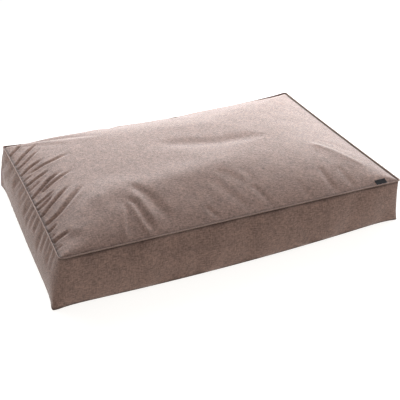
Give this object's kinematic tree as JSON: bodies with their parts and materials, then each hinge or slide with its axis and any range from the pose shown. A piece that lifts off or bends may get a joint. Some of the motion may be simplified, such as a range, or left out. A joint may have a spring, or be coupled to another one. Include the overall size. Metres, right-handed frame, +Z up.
{
  "type": "pet cushion bed",
  "caption": "Rectangular box-edge pet cushion: zipped woven cover with a crowned top, welted top seam and cloth label, over a stuffed inner case.",
  "frame": {"origin": "on the floor, under the middle of the cushion's base", "axes": "+X along the length, to the right as seen from the front; the zip is on the +Y side; +Z up"},
  "size_m": [0.997, 0.6876, 0.19],
  "materials": {
    "cover_cloth": "taupe heathered plain-weave polyester canvas, matt",
    "welt_cloth": "the cover's cloth folded into a narrow flat welt",
    "label_cloth": "near-black woven label, plain",
    "zip_tape": "woven zip tape",
    "zip_coil": "nylon coil",
    "zip_metal": "dark enamelled zinc",
    "inner_case_cloth": "white non-woven lining",
    "fill_fibre": "white polyester fibre"
  },
  "bodies": {
    "cushion": {"top_panel": "cover_cloth", "bottom_panel": "cover_cloth", "side_border": "cover_cloth", "back_border_upper": "cover_cloth", "back_border_lower": "cover_cloth", "top_welt": "welt_cloth", "zip_tape_upper": "zip_tape", "zip_tape_lower": "zip_tape", "zip_coil_upper": "zip_coil", "zip_coil_lower": "zip_coil", "zip_end_tab_left": "cover_cloth", "zip_end_tab_right": "cover_cloth", "inner_case_upper": "inner_case_cloth", "inner_case_lower": "inner_case_cloth", "fibre_fill": "fill_fibre"},
    "slider": {"zip_slider": "zip_metal"},
    "pull": {"zip_pull": "zip_metal"},
    "label": {"label_tag": "label_cloth"}
  },
  "joints": [
    {"name": "zip_slide", "type": "slide", "parent": "cushion", "child": "slider", "axis": [1, 0, 0], "range_m": [0, 0.875]},
    {"name": "pull_flip", "type": "hinge", "parent": "slider", "child": "pull", "pos_m": [-0.4375, 0.3441, 0.0715], "axis": [0, 0, 1], "range_deg": [0, 170]},
    {"name": "label_flap", "type": "hinge", "parent": "cushion", "child": "label", "pos_m": [0.435, -0.3332, 0.1448], "axis": [1, 0, 0], "range_deg": [0, 100]}
  ]
}
